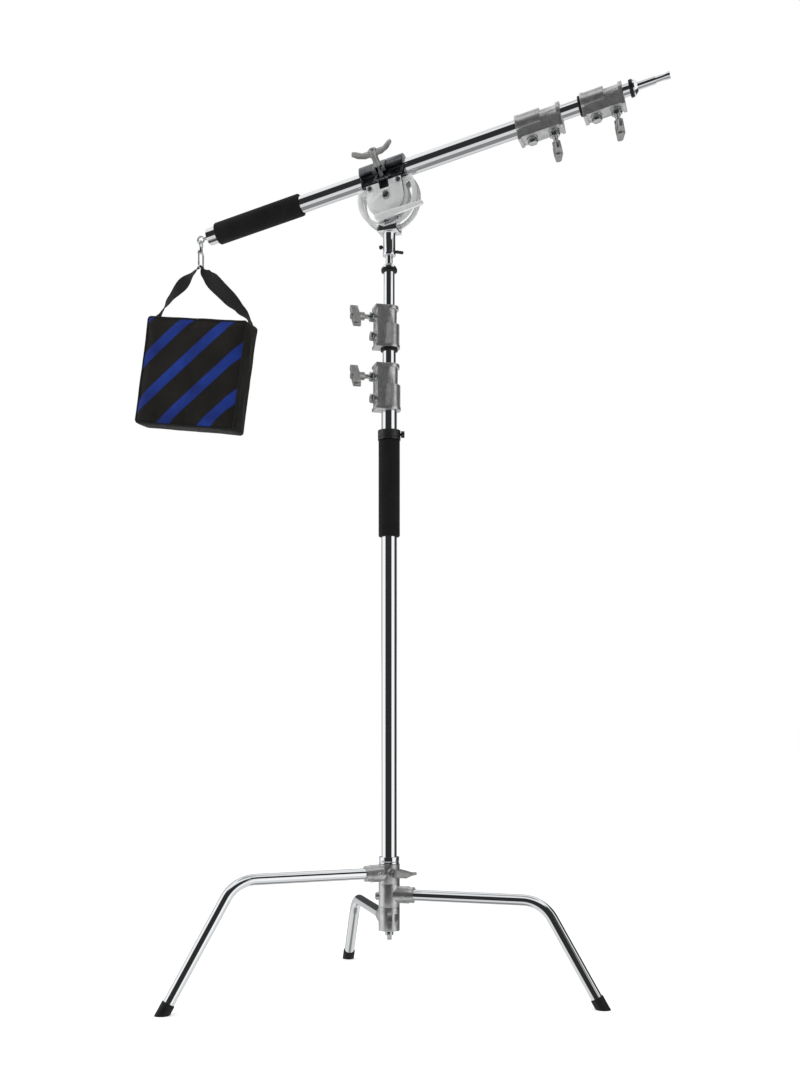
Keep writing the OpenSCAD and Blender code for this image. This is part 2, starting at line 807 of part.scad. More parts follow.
module boom_collar_fasteners() { on_boom_collar(collar_1_x) collar_fasteners(boom_r, knob_1_at, bolt_1_at); }
module boom_collar_knob() { on_boom_collar(collar_1_x) collar_knob(boom_middle_r, knob_1_at, boom_knob_spin); }

module boom_middle_tube() {
    color("silver") on_boom() translate([middle_tail_x, 0, 0]) along_x() {
        tube(boom_middle_r, boom_middle_bore, collar_2_x + collar_2_step - middle_tail_x);
        tube(boom_bore - slide_play, boom_middle_r - 0.1, 14);
    }
}

module boom_tip_collar() {
    on_boom_collar(collar_2_x) collar(collar_2_h, collar_2_step, boom_middle_r, boom_tip_r, 24, 17.6,
        knob_2_at, bolt_2_at);
}

module boom_tip_collar_fasteners() {
    on_boom_collar(collar_2_x) collar_fasteners(boom_middle_r, knob_2_at, bolt_2_at);
}

module boom_tip_collar_knob() { on_boom_collar(collar_2_x) collar_knob(boom_tip_r, knob_2_at, boom_knob_spin); }

module boom_bumper() {
    color("#121212") on_boom_collar(collar_2_x - 6) tube(21, boom_middle_r, 6);
}

module boom_tip_tube() {
    color("silver") on_boom() translate([tip_tail_x, 0, 0]) along_x() {
        tube(boom_tip_r, boom_tip_r - column_wall, tip_end_x - tip_tail_x);
        tube(boom_middle_bore - slide_play, boom_tip_r - 0.1, 14);
    }
}

// The boom's spigot has a neck and a flared end that a 16 mm socket still passes over
module boom_spigot() {
    neck_r = 6.2;
    end_r = 7.6;
    color("#d2d2d0") on_boom() translate([tip_end_x, 0, 0]) along_x() {
        spigot(boom_tip_r - column_wall, 9, washer_h + spigot_l);
        translate([0, 0, washer_h + spigot_l]) {
            cylinder(r = neck_r, h = 30);
            translate([0, 0, 16]) cylinder(r1 = neck_r, r2 = end_r, h = 10);
            translate([0, 0, 26]) cylinder(r = end_r, h = 4);
        }
    }
}

module spigot_washer() {
    color("#121212") on_boom() translate([tip_end_x, 0, 0]) along_x() tube(washer_r, spigot_r, washer_h);
}

// Snap hook: a link around the tail eye, a swivel and a loop in the plane across the boom
module hook_rod(from, to) {
    v = to - from;
    translate(from) rotate([-atan2(v[1], v[2]), 0, 0]) cylinder(r = hook_wire, h = norm(v), $fn = 24);
}

module hook_bend(centre, start) {
    translate(centre) rotate([0, 90, 0]) rotate([0, 0, start]) rotate_extrude(angle = 90, $fn = 48)
        translate([hook_corner, 0]) circle(r = hook_wire, $fn = 24);
}

module snap_hook() {
    low = -hook_floor + hook_corner;
    high = -hook_top - hook_corner;
    in_y = hook_half - hook_corner;
    color("#c9cac8") on_eye() {
        translate([0, 0, -link_drop]) rotate([0, 90, 0]) torus(link_r, link_wire);
        translate([0, 0, -hook_top - 2]) cylinder(r = 4.5, h = hook_top - link_drop - link_r + 1);
        hook_rod([0, -in_y, -hook_top], [0, in_y, -hook_top]);
        hook_bend([0, in_y, high], 90);
        hook_rod([0, hook_half, low], [0, hook_half, high]);
        hook_bend([0, in_y, low], 0);
        hook_rod([0, -in_y, -hook_floor], [0, in_y, -hook_floor]);
        hook_bend([0, -in_y, low], -90);
        hook_rod([0, -hook_half, low], [0, -hook_half, -gate_foot - 0.5]);
        hook_rod([0, -in_y, -hook_top], [0, -hook_half + 1, -hook_top]);
    }
}

// The sprung gate: it closes the loop's front side, and opens inwards
module snap_gate() {
    color("#b4b5b3") on_eye() translate([0, -hook_half, -gate_foot]) {
        cylinder(r = 2, h = gate_foot - gate_top, $fn = 24);
        translate([-3, 0, gate_foot - gate_top]) along_x() cylinder(r = 1.6, h = 6, $fn = 24);
    }
}

// Sandbag: a filled pillow, and one strap from corner to corner over the hook
module sandbag() {
    inset = [bag_w / 2 - bag_round, bag_t / 2 - bag_round, bag_h / 2 - bag_round];
    color("#26241f") on_bag() translate([bag_off, 0, -strap_drop - bag_h / 2]) hull()
        for (x = [-1, 1], y = [-1, 1], z = [-1, 1])
            translate([x * inset[0], y * inset[1], z * inset[2]]) sphere(r = bag_round, $fn = 24);
}

// A strap leg from the arch over the hook to the bag's top at a given distance along X
module strap_leg(reach) {
    side = sign(reach);
    lean = atan2(abs(reach), strap_drop);
    arch_w = 11;
    inner = strap_inner;
    mirror([side < 0 ? 1 : 0, 0, 0]) rotate([0, -lean, 0]) hull() {
        translate([inner, -arch_w / 2, -6]) cube([strap_t, arch_w, 6]);
        translate([inner, -strap_w / 2, -90]) cube([strap_t, strap_w, 1]);
        translate([inner, -strap_w / 2, -norm([reach, strap_drop]) - 8]) cube([strap_t, strap_w, 1]);
    }
}

module sandbag_strap() {
    arch_w = 11;
    arch_lap = 8;
    left_lean = atan2(-strap_left, strap_drop);
    right_lean = atan2(strap_right, strap_drop);
    color("#181818") on_bag() difference() {
        union() {
            strap_leg(strap_left);
            strap_leg(strap_right);
            translate([0, arch_w / 2 - lap_under, 0]) to_front()
                rotate([0, 0, right_lean - arch_lap])
                rotate_extrude(angle = 180 - left_lean - right_lean + 2 * arch_lap)
                translate([strap_inner + lap_under, 0])
                square([strap_t - 2 * lap_under, arch_w - 2 * lap_under]);
        }
        translate([-200, -50, -strap_drop - 100]) cube([400, 100, 100]);
    }
}

bottom_leg_casting();
middle_leg_casting();
top_leg_casting();
bottom_leg_tube();
middle_leg_tube();
top_leg_tube();
bottom_foot();
middle_foot();
top_foot();
leg_lock_handle();
base_bolt();
column_ferrule();
lower_column_tube();
column_grip();
storage_ring();
storage_ring_knob();
lower_collar();
lower_collar_fasteners();
lower_collar_knob();
middle_riser_tube();
middle_riser_bush();
upper_collar();
upper_collar_fasteners();
upper_collar_knob();
upper_collar_bumper();
top_riser_tube();
top_riser_bush();
baby_pin();
pin_washer();
receiver();
receiver_knob();
receiver_lever();
tilt_plates();
cover_plates();
plate_screws();
pivot_bolt();
tilt_lock_lever();
clamp_lower_jaw();
clamp_upper_jaw();
clamp_hinge_pin();
clamp_swing_bolt();
clamp_wing_nut();
boom_main_tube();
boom_grip();
boom_tail_plug();
boom_collar();
boom_collar_fasteners();
boom_collar_knob();
boom_middle_tube();
boom_tip_collar();
boom_tip_collar_fasteners();
boom_tip_collar_knob();
boom_bumper();
boom_tip_tube();
boom_spigot();
spigot_washer();
snap_hook();
snap_gate();
sandbag();
sandbag_strap();
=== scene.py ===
import json
import math
import bmesh
import bpy
from mathutils import Matrix, Vector, noise


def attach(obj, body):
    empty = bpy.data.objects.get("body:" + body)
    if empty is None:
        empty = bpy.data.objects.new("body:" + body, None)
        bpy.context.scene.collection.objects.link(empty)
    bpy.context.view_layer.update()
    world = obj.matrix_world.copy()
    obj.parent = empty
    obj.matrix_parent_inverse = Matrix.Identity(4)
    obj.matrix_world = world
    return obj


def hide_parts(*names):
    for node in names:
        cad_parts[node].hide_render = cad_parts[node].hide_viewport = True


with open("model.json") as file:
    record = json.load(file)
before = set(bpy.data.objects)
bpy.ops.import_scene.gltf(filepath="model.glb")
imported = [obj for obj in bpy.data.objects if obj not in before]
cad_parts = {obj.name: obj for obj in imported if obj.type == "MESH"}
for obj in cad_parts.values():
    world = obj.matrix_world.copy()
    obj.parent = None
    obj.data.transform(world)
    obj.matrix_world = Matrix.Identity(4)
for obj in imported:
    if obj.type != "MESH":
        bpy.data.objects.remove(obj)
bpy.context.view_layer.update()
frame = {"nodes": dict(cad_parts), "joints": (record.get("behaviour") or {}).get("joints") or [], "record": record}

joint = {j["name"]: j for j in frame["joints"]}
bodyOfNode = {node: body for body, nodes in frame["record"]["behaviour"]["bodies"].items() for node in nodes}
mount = {m["name"]: m for m in frame["record"]["mounts"]}
mm = 0.001
print("frame loaded:", len(frame["nodes"]), "nodes")


def placeFrom(origin, xAxis, yAxis):
    # a frame's matrix from its origin, its X and its Y
    zAxis = xAxis.cross(yAxis)
    place = Matrix((xAxis, yAxis, zAxis)).transposed().to_4x4()
    place.translation = origin
    return place


backward = -Vector(joint["boom_tilt"]["axis"])
boomAlong = Vector(joint["boom_slide"]["axis"])
levelAlong = Vector((boomAlong.x, boomAlong.y, 0)).normalized()
bagLean = math.radians(8.5)
bagHook = Vector(joint["bag_swing"]["pos_m"])
bagPlace = placeFrom(bagHook, levelAlong, backward) @ Matrix.Rotation(bagLean, 4, "Y")


def clearSelection():
    if bpy.context.mode != "OBJECT":
        bpy.ops.object.mode_set(mode="OBJECT")
    bpy.ops.object.select_all(action="DESELECT")


def makeActive(piece):
    clearSelection()
    piece.select_set(True)
    bpy.context.view_layer.objects.active = piece


def namePiece(name):
    piece = bpy.context.object
    piece.name = name
    piece.data.name = name
    return piece


def finishModifiers(piece):
    makeActive(piece)
    for modifier in list(piece.modifiers):
        bpy.ops.object.modifier_apply(modifier=modifier.name)


def roundEdges(piece, width, segments=2, angle=35):
    bevel = piece.modifiers.new("roundEdges", "BEVEL")
    bevel.width = width
    bevel.segments = segments
    bevel.limit_method = "ANGLE"
    bevel.angle_limit = math.radians(angle)
    bevel.use_clamp_overlap = True
    finishModifiers(piece)


def smoothShade(piece, angle=35):
    makeActive(piece)
    bpy.ops.object.shade_smooth_by_angle(angle=math.radians(angle))


def settle(piece, place):
    # puts a piece made at the origin where it belongs, with its place in its mesh
    piece.data.transform(place)
    if place.is_negative:
        piece.data.flip_normals()


def give(piece, material, body, slotName, *stoodFor):
    piece.data.materials.clear()
    piece.data.materials.append(material)
    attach(piece, body)
    if stoodFor:
        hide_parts(*stoodFor)
    return piece


def hexColour(code):
    # sRGB hex to the linear colour that the shader wants
    values = [int(code[i:i + 2], 16) / 255 for i in (1, 3, 5)]
    return tuple(v / 12.92 if v <= 0.04045 else ((v + 0.055) / 1.055) ** 2.4 for v in values) + (1.0,)


def addNode(tree, kind, settings=None, links=None):
    node = tree.nodes.new(kind)
    for key, value in (settings or {}).items():
        if isinstance(key, int) or key in node.inputs:
            node.inputs[key].default_value = value
        else:
            setattr(node, key, value)
    for key, source in (links or {}).items():
        tree.links.new(source, node.inputs[key])
    return node


def startMaterial(name, colour, metallic, roughness, **sockets):
    material = bpy.data.materials.new(name)
    material.use_nodes = True
    tree = material.node_tree
    shader = tree.nodes["Principled BSDF"]
    shader.inputs["Base Color"].default_value = hexColour(colour)
    shader.inputs["Metallic"].default_value = metallic
    shader.inputs["Roughness"].default_value = roughness
    for key, value in sockets.items():
        shader.inputs[key.replace("_", " ")].default_value = value
    material.diffuse_color = hexColour(colour)
    return material, tree, shader


def noiseAt(tree, sizeMm, detail=2, stretch=(1, 1, 1), coords="Object"):
    # a noise whose blotches are sizeMm across, on the piece's own coordinates
    where = addNode(tree, "ShaderNodeTexCoord")
    mapped = addNode(tree, "ShaderNodeMapping", {"Scale": stretch}, {"Vector": where.outputs[coords]})
    return addNode(tree, "ShaderNodeTexNoise", {"Scale": 1 / (sizeMm * mm), "Detail": detail},
                   {"Vector": mapped.outputs["Vector"]})


def between(tree, source, low, high, fromLow=0.3, fromHigh=0.7):
    return addNode(tree, "ShaderNodeMapRange", {"From Min": fromLow, "From Max": fromHigh,
                   "To Min": low, "To Max": high}, {"Value": source}).outputs["Result"]


def mixColours(tree, factor, first, second):
    mix = addNode(tree, "ShaderNodeMix", {"data_type": "RGBA"})
    tree.links.new(factor, mix.inputs["Factor"])
    for socket, colour in ((mix.inputs[6], first), (mix.inputs[7], second)):
        if isinstance(colour, str):
            socket.default_value = hexColour(colour)
        else:
            tree.links.new(colour, socket)
    return mix.outputs[2]


def addBump(tree, shader, height, depthMm, strength=1.0):
    bump = addNode(tree, "ShaderNodeBump", {"Strength": strength, "Distance": depthMm * mm},
                   {"Height": height})
    tree.links.new(bump.outputs["Normal"], shader.inputs["Normal"])


def makeChrome():
    # bright nickel-chrome plating, mirror smooth, with faint handling smudges that spread the glints
    material, tree, shader = startMaterial("polishedChromePlate", "#DCDEE0", 1.0, 0.06)
    smudge = noiseAt(tree, 38, 3)
    tree.links.new(between(tree, smudge.outputs["Fac"], 0.035, 0.11), shader.inputs["Roughness"])
    rub = noiseAt(tree, 2.5, 2)
    addBump(tree, shader, rub.outputs["Fac"], 0.02, 0.25)
    return material


def makeCasting(name, pale, dark, roughLow, roughHigh, depth, metallic=0.85):
    # tumbled die casting: even satin metal with a fine grain, a little darker in blotches;
    # the 0.4 mm grain is drawn at 1.1 mm so that it shows
    material, tree, shader = startMaterial(name, pale, metallic, roughLow)
    blotch = noiseAt(tree, 14, 3)
    tree.links.new(mixColours(tree, between(tree, blotch.outputs["Fac"], 0, 1), pale, dark),
                   shader.inputs["Base Color"])
    polish = noiseAt(tree, 6, 2)
    tree.links.new(between(tree, polish.outputs["Fac"], roughLow, roughHigh), shader.inputs["Roughness"])
    grain = noiseAt(tree, 1.1, 2)
    addBump(tree, shader, grain.outputs["Fac"], depth, 0.6)
    return material


def makeBrightPlate():
    # satin plated steel plate: nearly white, with soft reflections and fine buffing lines
    material, tree, shader = startMaterial("satinPlatedSteel", "#D4D5D5", 0.45, 0.34)
    lines = noiseAt(tree, 1.2, 2, (0.05, 0.05, 1))
    tree.links.new(between(tree, lines.outputs["Fac"], 0.28, 0.40), shader.inputs["Roughness"])
    cloud = noiseAt(tree, 22, 2)
    tree.links.new(mixColours(tree, between(tree, cloud.outputs["Fac"], 0, 1), "#E9EAEA", "#DCDDDD"),
                   shader.inputs["Base Color"])
    addBump(tree, shader, lines.outputs["Fac"], 0.02, 0.2)
    return material


def makeZincSteel():
    # zinc-plated turned steel: slightly blue-grey, with a fine 0.6 mm grain
    material, tree, shader = startMaterial("zincPlatedSteel", "#C2C5C8", 1.0, 0.25)
    blotch = noiseAt(tree, 5, 2)
    tree.links.new(between(tree, blotch.outputs["Fac"], 0.18, 0.36), shader.inputs["Roughness"])
    tree.links.new(mixColours(tree, between(tree, blotch.outputs["Fac"], 0, 1), "#C6C9CB", "#B0B3B5"),
                   shader.inputs["Base Color"])
    grain = noiseAt(tree, 0.6, 1)
    addBump(tree, shader, grain.outputs["Fac"], 0.03, 0.4)
    return material


def makeRubber(name, colour, roughness, sizeMm, depth):
    # moulded rubber: dull black that greys a little where it has been scuffed
    material, tree, shader = startMaterial(name, colour, 0.0, roughness, IOR=1.52, Specular_IOR_Level=0.3)
    scuff = noiseAt(tree, 9, 4)
    tree.links.new(mixColours(tree, between(tree, scuff.outputs["Fac"], 0, 1, 0.45, 0.75), colour, "#1D1D1C"),
                   shader.inputs["Base Color"])
    tree.links.new(between(tree, scuff.outputs["Fac"], roughness - 0.08, roughness + 0.08),
                   shader.inputs["Roughness"])
    pores = noiseAt(tree, sizeMm, 2)
    addBump(tree, shader, pores.outputs["Fac"], depth, 0.7)
    return material


def makeFoam():
    # closed-cell foam sleeve: deep matt black with 1.4 mm cells, slightly greyer where hands hold it
    material, tree, shader = startMaterial("closedCellFoam", "#121212", 0.0, 0.85,
                                           IOR=1.45, Specular_IOR_Level=0.25)
    shader.inputs["Sheen Weight"].default_value = 0.04
    shader.inputs["Sheen Roughness"].default_value = 0.5
    where = addNode(tree, "ShaderNodeTexCoord")
    cells = addNode(tree, "ShaderNodeTexVoronoi", {"Scale": 1 / (1.4 * mm)},
                    {"Vector": where.outputs["Object"]})
    handled = noiseAt(tree, 45, 3)
    tree.links.new(mixColours(tree, between(tree, handled.outputs["Fac"], 0, 1), "#0D0D0D", "#161616"),
                   shader.inputs["Base Color"])
    addBump(tree, shader, cells.outputs["Distance"], 0.15, 0.6)
    return material


def makePlastic():
    # injection-moulded nylon: black, spark-eroded mould texture, soft highlight
    material, tree, shader = startMaterial("mouldedBlackNylon", "#161617", 0.0, 0.42, IOR=1.53)
    grain = noiseAt(tree, 0.8, 2)
    tree.links.new(between(tree, grain.outputs["Fac"], 0.36, 0.5), shader.inputs["Roughness"])
    addBump(tree, shader, grain.outputs["Fac"], 0.04, 0.5)
    return material


def weaveHeight(tree, vector, pitchMm):
    # warp and weft threads crossing over and under, as a height from 0 to 1
    split = addNode(tree, "ShaderNodeSeparateXYZ", {}, {"Vector": vector})
    waves = []
    for axis in ("X", "Y"):
        turn = addNode(tree, "ShaderNodeMath", {"operation": "MULTIPLY", 1: math.pi / (pitchMm * mm)},
                       {0: split.outputs[axis]})
        waves.append(addNode(tree, "ShaderNodeMath", {"operation": "SINE"}, {0: turn.outputs[0]}).outputs[0])
    crossed = addNode(tree, "ShaderNodeMath", {"operation": "MULTIPLY"}, {0: waves[0], 1: waves[1]})
    return addNode(tree, "ShaderNodeMapRange", {"From Min": -1.0, "From Max": 1.0},
                   {"Value": crossed.outputs[0]})


def makeBagCloth():
    # 600-denier polyester with 25 mm bands of blue tape sewn on at 45 degrees, 76 mm apart;
    # threads of 0.45 mm are drawn at 1.1 mm, dry black with a faint sheen, the tape brighter with ribs, and every
    # colour darkened where the weave sinks, as painted shade in the hollows between the threads
    material, tree, shader = startMaterial("stripedPolyesterCloth", "#26241F", 0.0, 0.8,
                                           IOR=1.5, Specular_IOR_Level=0.2)
    shader.inputs["Sheen Weight"].default_value = 0.05
    shader.inputs["Sheen Roughness"].default_value = 0.45
    where = addNode(tree, "ShaderNodeUVMap", {"uv_map": "panel"})
    band = addNode(tree, "ShaderNodeAttribute", {"attribute_name": "tape"})
    shade = noiseAt(tree, 60, 3)
    black = mixColours(tree, between(tree, shade.outputs["Fac"], 0, 1), "#24221E", "#191815")
    blue = mixColours(tree, between(tree, shade.outputs["Fac"], 0, 1), "#1F3F9E", "#152C7A")
    weave = weaveHeight(tree, where.outputs["UV"], 1.1)
    # painted shade: the colour is multiplied down to #8E8E8E where the weave height is low, darkening the hollows
    # between the threads
    darker = mixColours(tree, between(tree, weave.outputs["Result"], 0, 1, 0, 1), "#8E8E8E", "#FFFFFF")
    tinted = addNode(tree, "ShaderNodeMix", {"data_type": "RGBA", "blend_type": "MULTIPLY", "Factor": 1.0})
    tree.links.new(mixColours(tree, band.outputs["Fac"], black, blue), tinted.inputs[6])
    tree.links.new(darker, tinted.inputs[7])
    tree.links.new(tinted.outputs[2], shader.inputs["Base Color"])
    addBump(tree, shader, weave.outputs["Result"], 0.22, 0.8)
    return material


def makeWebbing(name, colour, pale):
    # woven nylon webbing: crossing ribs 1.3 mm apart, with a low sheen; the colour is painted paler on the rib
    # tops and darker in the hollows, a painted highlight and painted shade
    material, tree, shader = startMaterial(name, colour, 0.0, 0.75, IOR=1.53, Specular_IOR_Level=0.25)
    shader.inputs["Sheen Weight"].default_value = 0.05
    shader.inputs["Sheen Roughness"].default_value = 0.4
    where = addNode(tree, "ShaderNodeUVMap", {"uv_map": "panel"})
    weave = weaveHeight(tree, where.outputs["UV"], 1.3)
    # painted highlight and shade: by weave height, the rib tops take the paler colour and the hollows the darker
    # one
    tree.links.new(mixColours(tree, between(tree, weave.outputs["Result"], 0, 1, 0, 1), colour, pale),
                   shader.inputs["Base Color"])
    addBump(tree, shader, weave.outputs["Result"], 0.3, 0.9)
    return material


def makePaperFloor():
    # painted studio floor, near white
    # the little light of its own keeps it as pale as the backdrop
    material, tree, shader = startMaterial("paintedStudioFloor", "#F2F2F2", 0.0, 0.9, IOR=1.45)
    shader.inputs["Emission Color"].default_value = (1, 1, 1, 1)
    shader.inputs["Emission Strength"].default_value = 0.42
    return material


chrome = makeChrome()
casting = makeCasting("satinDieCasting", "#C9CAC9", "#B4B5B4", 0.28, 0.40, 0.10, 0.9)
knobMetal = makeCasting("greyZincCasting", "#A0A19F", "#8E8F8D", 0.30, 0.42, 0.08, 0.9)
gunMetal = makeCasting("beadBlastedGunmetal", "#6A6C6F", "#525457", 0.22, 0.36, 0.07, 1.0)
brightPlate = makeBrightPlate()
zincSteel = makeZincSteel()
feetRubber = makeRubber("mouldedFootRubber", "#131313", 0.62, 1.5, 0.06)
washerRubber = makeRubber("washerRubber", "#0F0F0F", 0.55, 1.0, 0.04)
foam = makeFoam()
plastic = makePlastic()
bagCloth = makeBagCloth()
# the second colour of each webbing is the painted highlight on its rib tops
webbing = makeWebbing("ribbedNylonWebbing", "#141414", "#262626")
binding = makeWebbing("blackBindingTape", "#0E0E0E", "#1E1E1E")
print("materials made:", len(bpy.data.materials))


studio = {"lens": 40.53, "sensor": 36, "distance": 2.764, "height": 0.608, "shiftX": 0.0099, "shiftY": 0.1639,
          "floorSize": 40, "keyPower": 34, "fillPower": 14, "lampSize": 1.6, "aim": (0, 0, 1.0),
          "keyPlace": (-1.6, -2.2, 3.0), "fillPlace": (2.4, -1.6, 2.2)}


def makeCamera():
    bpy.ops.object.camera_add(location=(0, -studio["distance"], studio["height"]),
                              rotation=(math.pi / 2, 0, 0))
    camera = bpy.context.object
    camera.data.lens = studio["lens"]
    camera.data.sensor_width = studio["sensor"]
    camera.data.shift_x = studio["shiftX"]
    camera.data.shift_y = studio["shiftY"]
    bpy.context.scene.camera = camera


def makeSoftbox(name, place, aim, power, size):
    bpy.ops.object.light_add(type="AREA", location=place)
    lamp = bpy.context.object
    lamp.name = name
    lamp.data.energy = power
    lamp.data.size = size
    lamp.rotation_euler = (Vector(aim) - Vector(place)).to_track_quat("-Z", "Y").to_euler()
    lamp.visible_glossy = False


def addRamp(tree, source, stops):
    # a grey ramp through (position, brightness) pairs
    node = addNode(tree, "ShaderNodeValToRGB", {}, {"Fac": source})
    elements = node.color_ramp.elements
    while len(elements) < len(stops):
        elements.new(0.5)
    for element, (at, bright) in zip(elements, stops):
        element.position = at
        element.color = (bright, bright, bright, 1)
    return node.outputs["Color"]


def makeSurround():
    # a studio round the object: white to look at, with dark and bright cloths that the chrome mirrors
    world = bpy.data.worlds.new("studioSurround")
    bpy.context.scene.world = world
    world.use_nodes = True
    tree = world.node_tree
    background = tree.nodes["Background"]
    where = addNode(tree, "ShaderNodeTexCoord")
    split = addNode(tree, "ShaderNodeSeparateXYZ", {}, {"Vector": where.outputs["Generated"]})
    # azimuth, 0 towards the front and growing to the right, as a share of a turn
    across = addNode(tree, "ShaderNodeMath", {"operation": "MULTIPLY", 1: -1.0}, {0: split.outputs["Y"]})
    azimuth = addNode(tree, "ShaderNodeMath", {"operation": "ARCTAN2"},
                      {0: split.outputs["X"], 1: across.outputs[0]})
    share = addNode(tree, "ShaderNodeMapRange", {"From Min": -math.pi, "From Max": math.pi},
                    {"Value": azimuth.outputs[0]})
    # bright and dark cloths round the walls, as (share of a turn, brightness)
    walls = addRamp(tree, share.outputs["Result"], (
        (0, 0.7), (0.165, 0.6), (0.185, 1.25), (0.325, 1.25), (0.345, 0.035), (0.59, 0.035), (0.61, 1.25),
        (0.72, 1.25), (0.74, 0.05), (0.885, 0.05), (0.905, 0.75), (1, 0.7)))
    # how far the walls reach, from straight down at 0 to straight up at 1: 1 is wall, 0 is not
    rise = addNode(tree, "ShaderNodeMapRange", {"From Min": -1.0, "From Max": 1.0},
                   {"Value": split.outputs["Z"]})
    wallShare = addRamp(tree, rise.outputs["Result"], (
        (0, 0), (0.26, 0), (0.30, 1), (0.84, 1), (0.875, 0), (1, 0)))
    beyond = addRamp(tree, rise.outputs["Result"], (
        (0, 0.3), (0.045, 0.3), (0.065, 0.9), (0.3, 0.9), (0.84, 1.1), (0.965, 1.1), (0.98, 0.5), (1, 0.5)))
    allRound = mixColours(tree, wallShare, beyond, walls)
    # two more dark cloths, one high on the right for the left leg, one behind for the rear leg
    for around, heights, tone in (
            (((0, 0), (0.59, 0), (0.60, 1), (0.665, 1), (0.68, 0), (1, 0)),
             ((0, 0), (0.67, 0), (0.69, 1), (0.89, 1), (0.91, 0), (1, 0)), "#303132"),
            (((0, 1), (0.08, 1), (0.1, 0), (0.92, 0), (0.94, 1), (1, 1)),
             ((0, 0), (0.52, 0), (0.535, 1), (0.65, 1), (0.67, 0), (1, 0)), "#4A4B4C")):
        cloth = addNode(tree, "ShaderNodeMath", {"operation": "MULTIPLY"}, {
            0: addRamp(tree, share.outputs["Result"], around),
            1: addRamp(tree, rise.outputs["Result"], heights)})
        allRound = mixColours(tree, cloth.outputs[0], allRound, tone)
    ray = addNode(tree, "ShaderNodeLightPath")
    seen = mixColours(tree, ray.outputs["Is Camera Ray"], allRound, "#FFFFFF")
    tree.links.new(seen, background.inputs["Color"])
    background.inputs["Strength"].default_value = 1.0


makeCamera()
makeSurround()
for name in ("key", "fill"):
    makeSoftbox(name + "Light", studio[name + "Place"], studio["aim"],
                studio[name + "Power"], studio["lampSize"])
bpy.ops.mesh.primitive_plane_add(size=studio["floorSize"], location=(0, 0, 0))
floor = namePiece("studioFloor")
floor.data.materials.append(makePaperFloor())
floor.visible_glossy = False
bpy.context.scene.view_settings.view_transform = "Standard"
print("studio ready")


keptFinish = {
    "chrome": (chrome, ["bottom_leg_tube", "middle_leg_tube", "top_leg_tube", "lower_column_tube",
                        "middle_riser_tube", "top_riser_tube", "boom_main_tube", "boom_middle_tube",
                        "boom_tip_tube", "baby_pin", "boom_spigot", "snap_hook", "snap_gate",
                        "boom_tail_plug"]),
    "zinc": (zincSteel, ["clamp_hinge_pin"]),
    "plastic": (plastic, ["middle_riser_bush", "top_riser_bush"]),
}


def paintNodes():
    for material, nodes in keptFinish.values():
        for node in nodes:
            slots = frame["nodes"][node].data.materials
            slots.clear()
            slots.append(material)


paintNodes()


softened = {
    "casting": (casting, "cast", 1.2, ["bottom_leg_casting", "middle_leg_casting", "top_leg_casting",
                "lower_collar", "upper_collar", "boom_collar", "boom_tip_collar"]),
    "knob": (knobMetal, "knob_metal", 1.6, ["lower_collar_knob", "upper_collar_knob", "boom_collar_knob",
             "boom_tip_collar_knob", "leg_lock_handle"]),
    "gun": (gunMetal, "dark_cast", 1.0, ["clamp_lower_jaw", "clamp_upper_jaw", "clamp_swing_bolt"]),
    "wing": (knobMetal, "dark_cast", 2.0, ["clamp_wing_nut"]),
    "plate": (brightPlate, "bright_steel", 0.6, ["tilt_plates", "cover_plates"]),
    "lever": (brightPlate, "bright_steel", 2.2, ["tilt_lock_lever"]),
    "turned": (chrome, "chrome", 0.7, ["receiver", "column_ferrule"]),
    "bolts": (zincSteel, "bright_steel", 0.7, ["base_bolt", "lower_collar_fasteners",
              "upper_collar_fasteners", "boom_collar_fasteners", "boom_tip_collar_fasteners",
              "plate_screws", "pivot_bolt"]),
    "feet": (feetRubber, "black_rubber", 1.8, ["bottom_foot", "middle_foot", "top_foot"]),
    "washers": (washerRubber, "black_rubber", 1.2, ["upper_collar_bumper", "boom_bumper", "pin_washer",
                "spigot_washer"]),
    "ring": (plastic, "black_plastic", 0.8, ["storage_ring", "storage_ring_knob", "receiver_knob",
             "receiver_lever"]),
    "grips": (foam, "black_rubber", 3.0, ["column_grip", "boom_grip"]),
}


# vertices closer than this are one, and faces that turn less than this are flat
clean = {"merge": 0.004, "flat": 1.5}


def softenNode(node, material, slotName, widthMm):
    source = frame["nodes"][node]
    words = node.split("_")
    piece = bpy.data.objects.new(words[0] + "".join(w.capitalize() for w in words[1:]), source.data.copy())
    bpy.context.scene.collection.objects.link(piece)
    makeActive(piece)
    bpy.ops.mesh.customdata_custom_splitnormals_clear()
    bpy.ops.object.mode_set(mode="EDIT")
    bpy.ops.mesh.select_all(action="SELECT")
    bpy.ops.mesh.remove_doubles(threshold=clean["merge"] * mm)
    bpy.ops.mesh.dissolve_limited(angle_limit=math.radians(clean["flat"]))
    bpy.ops.object.mode_set(mode="OBJECT")
    roundEdges(piece, widthMm * mm)
    smoothShade(piece)
    return give(piece, material, bodyOfNode[node], slotName, node)


for material, slotName, widthMm, nodes in softened.values():
    for node in nodes:
        softenNode(node, material, slotName, widthMm)
print("castings and machined parts:", sum(len(s[3]) for s in softened.values()))


screw = {"head": 4.8, "proud": 2.0, "socket": 2.7, "deep": 1.6, "edge": 0.25, "sides": 40}
slotScrew = {"head": 6.2, "proud": 1.6, "slotWide": 1.8, "deep": 1.3}
thread = {"root": 5.04, "depth": 0.55, "pitch": 1.75, "length": 12.9, "back": 14.7,
          "around": 28, "perPitch": 8}
boltEnd = {"root": 5.04, "depth": 0.5, "pitch": 1.5, "length": 1.9, "out": 8.05}
cap = {"foot": 16.4, "top": 9.0, "height": 8.5, "clear": 0.05, "edge": 0.8}
